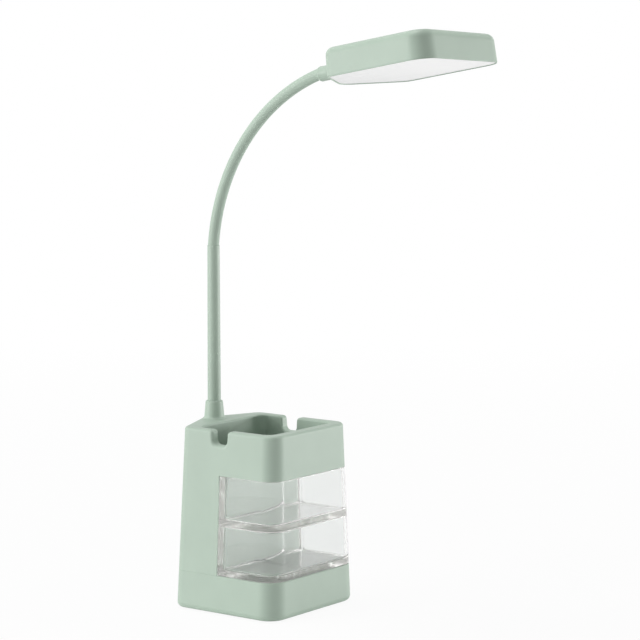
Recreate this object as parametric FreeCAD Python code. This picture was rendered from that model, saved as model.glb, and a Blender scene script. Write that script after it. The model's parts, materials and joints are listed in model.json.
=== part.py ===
import FreeCAD, Part
import math
import os
from FreeCAD import Matrix, Placement, Rotation, Vector

# Desk lamp with drawer base. Millimetres, +Z up, the drawers face -Y.
# The origin is the middle of the footprint, on the resting face.

# Housing outline: half widths, depths and radii at the desk and at the rim
FOOT_HALF_WIDTH = 50.7
RIM_HALF_WIDTH = 44.2
FOOT_HALF_DEPTH = 54.7
RIM_FRONT_SETBACK = 3.9
RIM_BACK_SETBACK = 5.7
BACK_SLOPE_ANGLE = 22.3
NOSE_RADIUS = 12.0
FOOT_FRONT_CORNER = 14.6
RIM_FRONT_CORNER = 11.3
BACK_CORNER_RADIUS = 8.0
SMALLEST_CORNER = 3.0

# Housing heights
PAD_GAP = 0.6
DECK_Z = 28.2
DRAWER_SPLIT_Z = 64.1
BAY_TOP_Z = 100.0
RIM_Z = 132.0
COLUMN_FACE_Y = -2.0
NECK_BACK_INSET = 15.5

# Housing walls
WALL = 2.2
INNER_WALL = 2.0
RIM_WIDTH = 7.2
RIM_FRONT_WIDTH = 9.4
RIM_ROUNDING = 2.1
RIM_INNER_ROUNDING = 1.4
FOOT_ROUNDING = 4.0
FOOT_LEDGE = 5.5
FOOT_LEDGE_HEIGHT = 4.9
SEAM_ROUNDING = 0.3

# Gaps between pieces that move past each other and between pieces that are fixed
GAP = 0.3
FIT = 0.1
RUNNING = 0.06
REACH = 1.0
FLAT = 0.01

# Pen cup and the deep pen well behind the drawers
CUP_CORNER = 6.0
CUP_NECK_GAP = 15.8
CUP_FLOOR = 2.5
WELL_CORNER = 5.0
WELL_FLOOR = 2.4
WELL_LIFT = 0.6

# Phone notches in both side rims
NOTCH_Y = -1.35
NOTCH_DEPTH = 10.7
NOTCH_TOP_HALF = 6.85
NOTCH_BOTTOM_HALF = 6.25
NOTCH_CORNER = 3.8
NOTCH_LIP = 2.6
NOTCH_LIP_FLAT = 1.0

# Guide plate above the upper drawer and its screws
PLATE_THICKNESS = 4.5
PLATE_SCREW_FRONT_INSET = 18.7
PLATE_SCREW_BACK_INSET = 6.6
PLATE_SCREW_INSET = 5.0
BOSS_RADIUS = 2.6
SCREW_RADIUS = 1.0
SCREW_HEAD_RADIUS = 2.0
SCREW_HEAD_HEIGHT = 1.3
SCREW_LENGTH = 9.0
PILOT_DEPTH = 11.0

# Drawers
DRAWER_WALL = 2.6
DRAWER_FLOOR = 3.6
DRAWER_BACK_CORNER = 1.0
DRAWER_EDGE = 0.4
DRAWER_ROOM_CORNER = 5.0
DRAWER_ROOM_ROUNDING = 2.8
LUG_NECK_HALF = 4.0
LUG_HEAD_HALF = 7.0
LUG_NECK_HEIGHT = 1.8
LUG_HEAD_HEIGHT = 1.6
LUG_HEAD_LENGTH = 6.0
SLOT_FRONT_INSET = 14.1
TROUGH_WALL = 1.5
TROUGH_FLOOR = 1.4

# Lower housing: deck, bosses and the screws into the column and the cover
DECK_THICKNESS = 2.6
COVER_THICKNESS = 2.2
COVER_SCREW_FRONT_INSETS = (10.1, 13.7)
COVER_SCREW_BACK_INSETS = (14.7, 27.7)
COLUMN_SCREW_SETBACK = 9.4
COLUMN_SCREW_SPACING = 12.0
COLUMN_BOSS_RADIUS = 3.2
COLUMN_BOSS_BITE = 0.8
COLUMN_BOSS_HEIGHT = 16.0
PAD_INSET = 17.0
PAD_RECESS = 0.5
PAD_GROOVE_COUNT = 6
PAD_GROOVE_WIDTH = 1.6
PAD_GROOVE_DEPTH = 0.4

# Ballast, battery, board and charging socket
BALLAST_SIDE_INSET = 15.7
BALLAST_FRONT_INSET = 9.7
BALLAST_CRADLE_GAP = 2.2
BALLAST_THICKNESS = 10.0
BALLAST_CORNER = 4.0
BATTERY_RADIUS = 9.2
BATTERY_LENGTH = 65.0
BATTERY_CAP_RADIUS = 3.0
BATTERY_CAP_HEIGHT = 1.5
BATTERY_WRAP_STEP = 0.3
CRADLE_FLOOR = 1.0
CRADLE_WALL = 1.2
CRADLE_HEIGHT = 8.0
CRADLE_BOARD_GAP = 3.5
TERMINAL_THICKNESS = 0.6
TERMINAL_HALF_WIDTH = 4.0
TERMINAL_HEIGHT = 13.0
BOARD_HALF_WIDTH = 11.0
BOARD_DEPTH = 22.0
BOARD_BACK_INSET = 7.6
BOARD_THICKNESS = 1.6
BOARD_LIFT = 3.8
POST_RADIUS = 2.4
POST_INSET = 2.6
POST_END_INSET = 4.2
PIN_RADIUS = 0.9
PIN_RISE = 0.8
CHIP_HEIGHT = 1.4
COIL_RADIUS = 3.0
COIL_HEIGHT = 4.0
PLUG_HALF_WIDTH = 4.0
PLUG_LENGTH = 5.0
PLUG_HEIGHT = 5.0
SOCKET_HALF_WIDTH = 4.5
SOCKET_LENGTH = 8.6
SOCKET_HEIGHT = 3.2
SOCKET_SKIN = 0.35
SOCKET_SINK = 1.4
TONGUE_HALF_WIDTH = 3.3
TONGUE_HEIGHT = 0.7
SOCKET_BODY_SHARE = 0.25
INDICATOR_RADIUS = 1.1
INDICATOR_X = 7.5

# Neck tube, its collar on the housing and its clamp
COLLAR_TOP_Z = 145.2
COLLAR_TOP_RADIUS = 6.4
COLLAR_BASE_RADIUS = 7.3
COLLAR_TOP_ROUNDING = 1.0
COLLAR_FLARE = 1.9
COLLAR_STEP = 0.2
COLLAR_EDGE_INSET = 1.9
SEAM_Z = 259.3
TUBE_TOP_RADIUS = 4.46
TUBE_BASE_RADIUS = 4.93
TUBE_TOP_CHAMFER = 0.35
TUBE_BORE = 3.5
STEM_RADIUS = 4.6
SHOULDER_Z = 128.0
BOSS_BOTTOM_Z = 118.0
STEM_BOTTOM_Z = 106.0
TUBE_BOSS_RADIUS = 7.6
NUT_FLATS = 12.0
NUT_HEIGHT = 4.0
WASHER_RADIUS = 6.6
WASHER_THICKNESS = 1.0
CABLE_RADIUS = 1.2
CABLE_BEND = 7.0

# Gooseneck: a plain arc in the plane X = 0, cut into links
LINK_COUNT = 6
ARC_RADIUS = 146.0
START_LEAN = 4.9
ARC_TURN = 65.0
SLEEVE_RADIUS = 4.08
SLEEVE_BORE = 3.0
CORE_RADIUS = 2.9
CORE_BORE = 1.6
NECK_CABLE_RADIUS = 1.2
SPIGOT_RADIUS = 2.6
SPIGOT_LENGTH = 16.0
SPIGOT_GUIDE = 12.7
SWIVEL_NUT_RADIUS = 3.15
SWIVEL_NUT_HEIGHT = 3.0
SEAM_LEAD = 0.5

# Lamp head, built flat with its rear tip over the origin and then set on the neck
HEAD_HALF_WIDTH = 47.7
HEAD_LENGTH = 104.3
HEAD_BACK_ANGLE = 26.9
HEAD_NOSE_RADIUS = 20.0
HEAD_FRONT_CORNER = 14.0
HEAD_BACK_CORNER = 8.5
HEAD_THICKNESS = 19.6
HEAD_TOP_INSET = 0.8
HEAD_TOP_ROUNDING = 5.6
HEAD_AXIS_Z = 9.5
HEAD_WALL = 2.0
HEAD_CEILING = 2.6
HEAD_REBATE_WALL = 0.9
HEAD_REBATE_DEPTH = 2.0
HEAD_PITCH_ANGLE = -10.0
HEAD_ROLL_ANGLE = 3.0
FERRULE_REACH = 20.0
FERRULE_RADIUS = 5.3
FERRULE_START = 1.2
FERRULE_SHOULDER = 3.0
FERRULE_PLUG = 12.0
FERRULE_PLUG_RADIUS = 4.3
DIFFUSER_PROUD = 0.4
DIFFUSER_EDGE = 0.6
LED_BOARD_SIDE_INSET = 8.6
LED_BOARD_FRONT_INSET = 8.4
LED_BOARD_BACK_Y = -22.0
LED_BOARD_THICKNESS = 1.4
LED_BOARD_Z = 11.6
LED_HALF = 1.5
LED_HEIGHT = 0.8
LED_COLUMNS = 6
LED_ROWS = 5
LED_MARGIN = 11.0
HEAD_SCREW_RADIUS = 0.9
HEAD_SCREW_HEAD_RADIUS = 1.8
HEAD_SCREW_HEAD_HEIGHT = 1.1
HEAD_POST_INSET = 4.0
HEAD_POST_RADIUS = 2.4
HEAD_SCREW_LENGTH = 4.6
REFLECTOR_SIDE_INSET = 5.6
REFLECTOR_FRONT_INSET = 4.4
REFLECTOR_BACK_Y = -24.0
REFLECTOR_BOTTOM_Z = 2.2
REFLECTOR_CORNER = 10.0
REFLECTOR_RIM = 1.0
REFLECTOR_SLOPE = 6.0
CLAMP_HALF_WIDTH = 8.0
CLAMP_LENGTH = 5.0
CLAMP_BOTTOM_Z = 3.4
CLAMP_SCREW_X = 6.3
CLAMP_SCREW_LENGTH = 12.0
HEAD_CONNECTOR_HALF = 3.0
HEAD_CONNECTOR_LENGTH = 6.0
HEAD_CONNECTOR_HEIGHT = 2.8
HEAD_CONNECTOR_INSET = 1.0
TOUCH_RADIUS = 7.0
TOUCH_THICKNESS = 0.9
CONTACT_RADIUS = 1.2

# Every length above scales with the part. These are shares, counts and angles only.
NUT_SIDES = 6
DRIVE_DEPTH_SHARE = 0.55
DRIVE_WIDTH_SHARE = 0.25
CHIP_X_SHARES = (-0.5, -0.5, 0.55)
CHIP_Y_SHARES = (0.45, 0.72, 0.38)
CHIP_SIZE_SHARES = (0.14, 0.055, 0.1)
COIL_X_SHARE = 0.45
COIL_Y_SHARE = 0.66


def box(x0, x1, y0, y1, z0, z1):
    return Part.makeBox(x1 - x0, y1 - y0, z1 - z0, Vector(x0, y0, z0))


def post(x, y, z0, z1, radius):
    return Part.makeCylinder(radius, z1 - z0, Vector(x, y, z0))


def mix(low, high, share):
    return low + (high - low) * share


def rounded_wire(corners):
    # Each corner is a point and the radius that rounds it
    count = len(corners)
    edges = []
    starts = []
    ends = []
    for index, (point, radius) in enumerate(corners):
        before = (corners[index - 1][0] - point).normalize()
        after = (corners[(index + 1) % count][0] - point).normalize()
        if radius > 0:
            half = before.getAngle(after) / 2
            cut = radius / math.tan(half)
            middle = (before + after).normalize()
            tip = point + middle * (radius / math.sin(half) - radius)
            first = point + before * cut
            last = point + after * cut
            edges.append(Part.Arc(first, tip, last).toShape())
        else:
            first = point
            last = point
            edges.append(None)
        starts.append(first)
        ends.append(last)
    chain = []
    for index in range(count):
        if edges[index] is not None:
            chain.append(edges[index])
        chain.append(Part.makeLine(ends[index], starts[(index + 1) % count]))
    return Part.Wire(chain)


def rounded_box(x0, x1, y0, y1, z0, z1, radius):
    corners = [
        (Vector(x0, y0, z0), radius),
        (Vector(x1, y0, z0), radius),
        (Vector(x1, y1, z0), radius),
        (Vector(x0, y1, z0), radius),
    ]
    return Part.Face(rounded_wire(corners)).extrude(Vector(0, 0, z1 - z0))


def shield_wire(half, front, tip, back_angle, radii, inset, z):
    # Straight front and sides, and two flat rear facets that meet in a round nose on X = 0
    nose_r, front_r, back_r = [max(radius - inset, SMALLEST_CORNER) for radius in radii]
    lean = math.radians(back_angle)
    facing = Vector(math.sin(lean), math.cos(lean), 0)
    facet = (tip - radii[0]) * facing.y + radii[0] - inset
    side = half - inset
    front_line = front + inset
    nose = Vector(0, (facet - nose_r) / facing.y, z)
    rear_x = side - back_r
    rear = Vector(rear_x, (facet - back_r - rear_x * facing.x) / facing.y, z)
    turn = (math.pi / 2 - lean) / 2
    knee = rear + Vector(math.cos(turn), math.sin(turn), 0) * back_r
    nook = front_r * NOOK_SHARE

    def flip(point):
        return Vector(-point.x, point.y, point.z)

    side_back = Vector(side, rear.y, z)
    side_front = Vector(side, front_line + front_r, z)
    corner = Vector(side - nook, front_line + nook, z)
    front_end = Vector(side - front_r, front_line, z)
    facet_side = rear + facing * back_r
    facet_nose = nose + facing * nose_r
    return Part.Wire([
        Part.makeLine(flip(front_end), front_end),
        Part.Arc(front_end, corner, side_front).toShape(),
        Part.makeLine(side_front, side_back),
        Part.Arc(side_back, knee, facet_side).toShape(),
        Part.makeLine(facet_side, facet_nose),
        Part.Arc(facet_nose, nose + Vector(0, nose_r, 0), flip(facet_nose)).toShape(),
        Part.makeLine(flip(facet_nose), flip(facet_side)),
        Part.Arc(flip(facet_side), flip(knee), flip(side_back)).toShape(),
        Part.makeLine(flip(side_back), flip(side_front)),
        Part.Arc(flip(side_front), flip(corner), flip(front_end)).toShape(),
    ])


def outline(z, inset):
    share = z / RIM_Z
    half = mix(FOOT_HALF_WIDTH, RIM_HALF_WIDTH, share)
    front = mix(-FOOT_HALF_DEPTH, RIM_FRONT_SETBACK - FOOT_HALF_DEPTH, share)
    tip = mix(FOOT_HALF_DEPTH, FOOT_HALF_DEPTH - RIM_BACK_SETBACK, share)
    front_corner = mix(FOOT_FRONT_CORNER, RIM_FRONT_CORNER, share)
    radii = (NOSE_RADIUS, front_corner, BACK_CORNER_RADIUS)
    return shield_wire(half, front, tip, BACK_SLOPE_ANGLE, radii, inset, z)


def housing_block(z0, z1, inset):
    return Part.makeLoft([outline(z0, inset), outline(z1, inset)], True, True)


def half_width(z):
    return mix(FOOT_HALF_WIDTH, RIM_HALF_WIDTH, z / RIM_Z)


def front_y(z):
    return mix(-FOOT_HALF_DEPTH, RIM_FRONT_SETBACK - FOOT_HALF_DEPTH, z / RIM_Z)


def mirrored(spots):
    return [(side * x, y) for x, y in spots for side in (-1, 1)]


def level_edges(shape, z):
    return [
        edge for edge in shape.Edges
        if abs(edge.BoundBox.ZMin - z) < FLAT and abs(edge.BoundBox.ZMax - z) < FLAT
    ]


def screw(x, y, seat_z, length, radius, head_radius, head_height):
    # Head below the seat, thread above it, as every screw here is driven from below
    shank = post(x, y, seat_z, seat_z + length, radius)
    head = post(x, y, seat_z - head_height, seat_z, head_radius)
    half = radius * DRIVE_WIDTH_SHARE
    drive_top = seat_z - head_height * DRIVE_DEPTH_SHARE
    slot = box(x - radius, x + radius, y - half, y + half, seat_z - head_height, drive_top)
    return shank.fuse(head).cut(slot)


WIDE = 4 * FOOT_HALF_WIDTH
NOOK_SHARE = 1 - math.sqrt(0.5)
NECK_Y = FOOT_HALF_DEPTH - NECK_BACK_INSET
CUP_HALF = RIM_HALF_WIDTH - RIM_WIDTH
CUP_BACK_Y = NECK_Y - CUP_NECK_GAP
CUP_FRONT_Y = front_y(RIM_Z) + RIM_FRONT_WIDTH
CUP_FLOOR_Z = BAY_TOP_Z + PLATE_THICKNESS + CUP_FLOOR
WELL_FRONT_Y = COLUMN_FACE_Y + WALL
WELL_FLOOR_Z = DECK_Z + WELL_LIFT + WELL_FLOOR
PLATE_TOP_Z = BAY_TOP_Z + PLATE_THICKNESS
PLATE_SCREW_X = half_width(BAY_TOP_Z) - PLATE_SCREW_INSET
PLATE_SCREW_SPOTS = mirrored([
    (PLATE_SCREW_X, PLATE_SCREW_FRONT_INSET - FOOT_HALF_DEPTH),
    (PLATE_SCREW_X, COLUMN_FACE_Y - PLATE_SCREW_BACK_INSET),
])
COVER_SCREW_SPOTS = mirrored([
    (FOOT_HALF_WIDTH - COVER_SCREW_FRONT_INSETS[0], COVER_SCREW_FRONT_INSETS[1] - FOOT_HALF_DEPTH),
    (FOOT_HALF_WIDTH - COVER_SCREW_BACK_INSETS[0], FOOT_HALF_DEPTH - COVER_SCREW_BACK_INSETS[1]),
])
COLUMN_BOSS_REACH = COLUMN_BOSS_RADIUS - COLUMN_BOSS_BITE
COLUMN_SCREW_SPOTS = mirrored([
    (half_width(DECK_Z) - WALL - COLUMN_BOSS_REACH, COLUMN_FACE_Y + COLUMN_SCREW_SETBACK),
    (COVER_SCREW_SPOTS[-1][0] - COLUMN_SCREW_SPACING, CUP_BACK_Y + INNER_WALL + COLUMN_BOSS_REACH),
])
# The drawers' travel is the length of these slots less their lugs
LUG_BACK_Y = COLUMN_FACE_Y - GAP
LUG_FRONT_Y = LUG_BACK_Y - LUG_HEAD_LENGTH
SLOT_FRONT_Y = SLOT_FRONT_INSET - FOOT_HALF_DEPTH


def notch_cutter():
    top = RIM_Z
    low = RIM_Z - NOTCH_DEPTH
    far = NOTCH_TOP_HALF + NOTCH_LIP + NOTCH_LIP_FLAT
    x = -WIDE / 2
    corners = [
        (Vector(x, NOTCH_Y - far, top + REACH), 0),
        (Vector(x, NOTCH_Y - far, top), 0),
        (Vector(x, NOTCH_Y - NOTCH_TOP_HALF, top), NOTCH_LIP),
        (Vector(x, NOTCH_Y - NOTCH_BOTTOM_HALF, low), NOTCH_CORNER),
        (Vector(x, NOTCH_Y + NOTCH_BOTTOM_HALF, low), NOTCH_CORNER),
        (Vector(x, NOTCH_Y + NOTCH_TOP_HALF, top), NOTCH_LIP),
        (Vector(x, NOTCH_Y + far, top), 0),
        (Vector(x, NOTCH_Y + far, top + REACH), 0),
    ]
    return Part.Face(rounded_wire(corners)).extrude(Vector(WIDE, 0, 0))


def rim_edges(shape, wanted_outside):
    # The outer or inner contour of the rim, down into both notches and up again
    picked = []
    middle = RIM_WIDTH / 2
    for edge in shape.Edges:
        bounds = edge.BoundBox
        spot = edge.CenterOfMass
        flat = bounds.ZMin > RIM_Z - FLAT
        in_notch = (
            bounds.ZMin > RIM_Z - NOTCH_DEPTH - FLAT
            and abs(spot.y - NOTCH_Y) < NOTCH_TOP_HALF + NOTCH_LIP
            and bounds.XLength < RIM_ROUNDING
        )
        near_notch = abs(spot.y - NOTCH_Y) < RIM_WIDTH + NOTCH_LIP
        across = flat and bounds.YLength < FLAT and near_notch
        outside = (
            abs(spot.x) > CUP_HALF + middle
            or spot.y < CUP_FRONT_Y - middle
            or spot.y > CUP_BACK_Y + middle
        )
        if (flat or in_notch) and not across and outside == wanted_outside:
            picked.append(edge)
    return picked


def neck_collar():
    # Seated on the housing's flat top, its flared foot ends where the rear rim starts to round
    bore = TUBE_BASE_RADIUS + RUNNING
    foot = COLLAR_BASE_RADIUS + COLLAR_FLARE
    step_z = RIM_Z + COLLAR_STEP
    neck_z = COLLAR_TOP_Z - COLLAR_TOP_ROUNDING
    nook = COLLAR_FLARE * NOOK_SHARE
    crown = COLLAR_TOP_ROUNDING * NOOK_SHARE
    points = [
        Vector(bore, 0, RIM_Z),
        Vector(foot, 0, RIM_Z),
        Vector(foot, 0, step_z),
        Vector(COLLAR_BASE_RADIUS, 0, step_z + COLLAR_FLARE),
        Vector(COLLAR_TOP_RADIUS, 0, neck_z),
        Vector(COLLAR_TOP_RADIUS - COLLAR_TOP_ROUNDING, 0, COLLAR_TOP_Z),
        Vector(bore, 0, COLLAR_TOP_Z),
    ]
    flare = Vector(COLLAR_BASE_RADIUS + nook, 0, step_z + nook)
    shoulder = Vector(COLLAR_TOP_RADIUS - crown, 0, COLLAR_TOP_Z - crown)
    profile = [
        Part.makeLine(points[0], points[1]),
        Part.makeLine(points[1], points[2]),
        Part.Arc(points[2], flare, points[3]).toShape(),
        Part.makeLine(points[3], points[4]),
        Part.Arc(points[4], shoulder, points[5]).toShape(),
        Part.makeLine(points[5], points[6]),
        Part.makeLine(points[6], points[0]),
    ]
    ring = Part.Face(Part.Wire(profile)).revolve(Vector(0, 0, 0), Vector(0, 0, 1), 360)
    ring = ring.translated(Vector(0, NECK_Y, 0))
    seat = Part.Face(outline(RIM_Z, COLLAR_EDGE_INSET))
    return ring.common(seat.extrude(Vector(0, 0, COLLAR_TOP_Z + REACH - RIM_Z)))


def upper_housing():
    outer = housing_block(DECK_Z, RIM_Z, 0)
    outer = outer.cut(box(-WIDE, WIDE, -WIDE, COLUMN_FACE_Y, -WIDE, BAY_TOP_Z))

    hollow = housing_block(DECK_Z - REACH, RIM_Z - WALL, WALL)
    hollow = hollow.cut(box(-WIDE, WIDE, -WIDE, COLUMN_FACE_Y + WALL, -WIDE, BAY_TOP_Z))
    hollow = hollow.fuse(
        housing_block(BAY_TOP_Z - REACH, BAY_TOP_Z + FLAT, WALL).cut(
            box(-WIDE, WIDE, COLUMN_FACE_Y, WIDE, -WIDE, WIDE)))
    shell = outer.cut(hollow)

    cup = rounded_box(-CUP_HALF - INNER_WALL, CUP_HALF + INNER_WALL, CUP_FRONT_Y - INNER_WALL,
                      CUP_BACK_Y + INNER_WALL, PLATE_TOP_Z, RIM_Z, CUP_CORNER + INNER_WALL)
    well = rounded_box(-CUP_HALF - INNER_WALL, CUP_HALF + INNER_WALL, COLUMN_FACE_Y,
                       CUP_BACK_Y + INNER_WALL, DECK_Z + WELL_LIFT, RIM_Z, WELL_CORNER + INNER_WALL)
    sill = box(-half_width(PLATE_TOP_Z) + WALL, half_width(PLATE_TOP_Z) - WALL,
               COLUMN_FACE_Y, COLUMN_FACE_Y + WALL, BAY_TOP_Z, CUP_FLOOR_Z)
    ceiling = post(0, NECK_Y, BOSS_BOTTOM_Z, RIM_Z, TUBE_BOSS_RADIUS)
    rib = box(-WALL / 2, WALL / 2, CUP_BACK_Y + INNER_WALL / 2, NECK_Y, BOSS_BOTTOM_Z, RIM_Z - WALL / 2)
    far = NOTCH_TOP_HALF + NOTCH_LIP + INNER_WALL
    fill = box(-WIDE, WIDE, NOTCH_Y - far, NOTCH_Y + far, RIM_Z - NOTCH_DEPTH - INNER_WALL, RIM_Z)
    added = [cup, well, sill, ceiling, rib, fill]
    for x, y in PLATE_SCREW_SPOTS:
        added.append(post(x, y, PLATE_TOP_Z, RIM_Z - WALL / 2, BOSS_RADIUS))
    for x, y in COLUMN_SCREW_SPOTS:
        added.append(post(x, y, DECK_Z, DECK_Z + COLUMN_BOSS_HEIGHT, COLUMN_BOSS_RADIUS))
    inner = housing_block(DECK_Z, RIM_Z, WALL / 2)
    for piece in added:
        shell = shell.fuse(piece.common(inner))

    cup_space = rounded_box(-CUP_HALF, CUP_HALF, CUP_FRONT_Y, CUP_BACK_Y,
                            CUP_FLOOR_Z, RIM_Z + REACH, CUP_CORNER)
    well_space = rounded_box(-CUP_HALF, CUP_HALF, WELL_FRONT_Y, CUP_BACK_Y, WELL_FLOOR_Z,
                             RIM_Z - NOTCH_DEPTH - REACH, WELL_CORNER)
    shell = shell.cut(cup_space).cut(well_space).cut(notch_cutter())
    shell = shell.removeSplitter()
    shell = shell.makeFillet(RIM_ROUNDING, rim_edges(shell, True))
    shell = shell.makeFillet(RIM_INNER_ROUNDING, rim_edges(shell, False))

    shell = shell.cut(post(0, NECK_Y, SHOULDER_Z, RIM_Z + REACH, TUBE_BASE_RADIUS + RUNNING))
    shell = shell.cut(post(0, NECK_Y, BOSS_BOTTOM_Z - REACH, RIM_Z, STEM_RADIUS + RUNNING))
    for x, y in PLATE_SCREW_SPOTS:
        shell = shell.cut(post(x, y, PLATE_TOP_Z - FLAT, PLATE_TOP_Z + PILOT_DEPTH, SCREW_RADIUS))
    for x, y in COLUMN_SCREW_SPOTS:
        shell = shell.cut(post(x, y, DECK_Z - FLAT, DECK_Z + PILOT_DEPTH, SCREW_RADIUS))
    return shell


def lug_slot(x_half, z0, z1, y0, y1):
    return box(-x_half, x_half, y0, y1, z0, z1)


LIP_BOTTOM_Z = DECK_Z - LUG_NECK_HEIGHT
TROUGH_Z = LIP_BOTTOM_Z - GAP - LUG_HEAD_HEIGHT - GAP
WINDOW_BACK_Y = LUG_BACK_Y + LUG_HEAD_LENGTH + GAP
COVER_TOP_Z = PAD_GAP + COVER_THICKNESS
COVER_SEAT_Z = PAD_GAP + FIT + SCREW_HEAD_HEIGHT
PLATE_SEAT_Z = BAY_TOP_Z + FIT + SCREW_HEAD_HEIGHT
BOARD_Z = COVER_TOP_Z + BOARD_LIFT
BOARD_TOP_Z = BOARD_Z + BOARD_THICKNESS
BATTERY_Z = COVER_TOP_Z + CRADLE_FLOOR + BATTERY_RADIUS
BOARD_BACK_Y = FOOT_HALF_DEPTH - BOARD_BACK_INSET
BOARD_FRONT_Y = BOARD_BACK_Y - BOARD_DEPTH
CRADLE_BACK_Y = BOARD_FRONT_Y - CRADLE_BOARD_GAP
BATTERY_Y = CRADLE_BACK_Y - CRADLE_WALL - BATTERY_RADIUS
CRADLE_FRONT_Y = BATTERY_Y - BATTERY_RADIUS - CRADLE_WALL
SOCKET_Z = BOARD_TOP_Z + SOCKET_HEIGHT / 2
SOCKET_MOUTH_Y = FOOT_HALF_DEPTH - RIM_BACK_SETBACK * SOCKET_Z / RIM_Z - SOCKET_SINK
POST_X = BOARD_HALF_WIDTH - POST_INSET
POST_SPOTS = mirrored([
    (POST_X, BOARD_FRONT_Y + POST_END_INSET),
    (POST_X, BOARD_BACK_Y - POST_END_INSET),
])


def lower_housing():
    body = housing_block(PAD_GAP, DECK_Z, 0)
    body = body.makeFillet(FOOT_ROUNDING, level_edges(body, PAD_GAP))
    body = body.makeFillet(SEAM_ROUNDING, level_edges(body, DECK_Z))
    deck_bottom = DECK_Z - DECK_THICKNESS
    ledge_top = PAD_GAP + FOOT_LEDGE_HEIGHT
    body = body.cut(housing_block(ledge_top, deck_bottom, WALL))
    body = body.cut(housing_block(PAD_GAP - REACH, ledge_top + FLAT, FOOT_LEDGE))

    slot_half = LUG_NECK_HALF + GAP
    channel_half = LUG_HEAD_HALF + GAP
    body = body.fuse(box(-channel_half - TROUGH_WALL, channel_half + TROUGH_WALL,
                         SLOT_FRONT_Y - TROUGH_WALL, WINDOW_BACK_Y + TROUGH_WALL,
                         TROUGH_Z - TROUGH_FLOOR, DECK_Z - SEAM_ROUNDING))
    for x, y in COVER_SCREW_SPOTS:
        body = body.fuse(post(x, y, COVER_TOP_Z, deck_bottom, BOSS_RADIUS))
    body = body.removeSplitter()

    body = body.cut(lug_slot(slot_half, TROUGH_Z, DECK_Z + REACH, SLOT_FRONT_Y, LUG_BACK_Y))
    body = body.cut(lug_slot(channel_half, TROUGH_Z, LIP_BOTTOM_Z, SLOT_FRONT_Y, LUG_BACK_Y))
    body = body.cut(lug_slot(channel_half, TROUGH_Z, DECK_Z + REACH, LUG_BACK_Y, WINDOW_BACK_Y))
    body = body.cut(post(0, NECK_Y, deck_bottom - REACH, DECK_Z + REACH, STEM_RADIUS))
    for x, y in COVER_SCREW_SPOTS:
        body = body.cut(post(x, y, COVER_TOP_Z - FLAT, COVER_TOP_Z + PILOT_DEPTH, SCREW_RADIUS))
    for x, y in COLUMN_SCREW_SPOTS:
        body = body.cut(post(x, y, deck_bottom - REACH, DECK_Z + REACH, SCREW_RADIUS + FIT))

    mouth_half = SOCKET_HALF_WIDTH + FIT
    mouth_rise = SOCKET_HEIGHT / 2 + FIT
    corners = [
        (Vector(x, BOARD_BACK_Y, SOCKET_Z + z), mouth_rise - FLAT)
        for x, z in ((-mouth_half, -mouth_rise), (mouth_half, -mouth_rise),
                     (mouth_half, mouth_rise), (-mouth_half, mouth_rise))
    ]
    body = body.cut(Part.Face(rounded_wire(corners)).extrude(Vector(0, FOOT_HALF_DEPTH, 0)))
    body = body.cut(Part.makeCylinder(INDICATOR_RADIUS + FIT, FOOT_HALF_DEPTH,
                                      Vector(INDICATOR_X, BOARD_BACK_Y, SOCKET_Z), Vector(0, 1, 0)))
    return body


def bottom_cover():
    cover = housing_block(PAD_GAP, COVER_TOP_Z, FOOT_LEDGE + FIT)
    cover = cover.cut(housing_block(PAD_GAP - REACH, PAD_GAP + PAD_RECESS, PAD_INSET - FIT))
    for x, y in POST_SPOTS:
        cover = cover.fuse(post(x, y, COVER_TOP_Z - FLAT, BOARD_Z, POST_RADIUS))
        cover = cover.fuse(post(x, y, COVER_TOP_Z, BOARD_TOP_Z + PIN_RISE, PIN_RADIUS))
    for x, y in COVER_SCREW_SPOTS:
        cover = cover.cut(post(x, y, PAD_GAP - REACH, COVER_TOP_Z + REACH, SCREW_RADIUS + FIT))
        cover = cover.cut(post(x, y, PAD_GAP - REACH, COVER_SEAT_Z, SCREW_HEAD_RADIUS + FIT))
    return cover.removeSplitter()


def anti_slip_pad():
    pad = housing_block(0, PAD_GAP + PAD_RECESS, PAD_INSET)
    pitch = 2 * (FOOT_HALF_DEPTH - PAD_INSET) / (PAD_GROOVE_COUNT + 1)
    for index in range(PAD_GROOVE_COUNT):
        y = PAD_INSET - FOOT_HALF_DEPTH + pitch * (index + 1) - PAD_GROOVE_WIDTH / 2
        pad = pad.cut(box(-WIDE, WIDE, y, y + PAD_GROOVE_WIDTH, -REACH, PAD_GROOVE_DEPTH))
    return pad


def ballast_plate():
    half = FOOT_HALF_WIDTH - BALLAST_SIDE_INSET
    front = BALLAST_FRONT_INSET - FOOT_HALF_DEPTH
    back = CRADLE_FRONT_Y - BALLAST_CRADLE_GAP
    top = COVER_TOP_Z + BALLAST_THICKNESS
    return rounded_box(-half, half, front, back, COVER_TOP_Z, top, BALLAST_CORNER)


def battery_cell():
    half = BATTERY_LENGTH / 2

    def drum(radius, start, length):
        return Part.makeCylinder(radius, length, Vector(start, BATTERY_Y, BATTERY_Z), Vector(1, 0, 0))

    step = half - BATTERY_WRAP_STEP
    ring = drum(BATTERY_RADIUS - BATTERY_WRAP_STEP, step, BATTERY_WRAP_STEP)
    ring = ring.cut(drum(2 * BATTERY_CAP_RADIUS, step, BATTERY_WRAP_STEP))
    cap = drum(BATTERY_CAP_RADIUS, half, BATTERY_CAP_HEIGHT)
    return drum(BATTERY_RADIUS, -half, BATTERY_LENGTH).cut(ring).fuse(cap).removeSplitter()


def terminal_x():
    return BATTERY_LENGTH / 2 + BATTERY_CAP_HEIGHT


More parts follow.
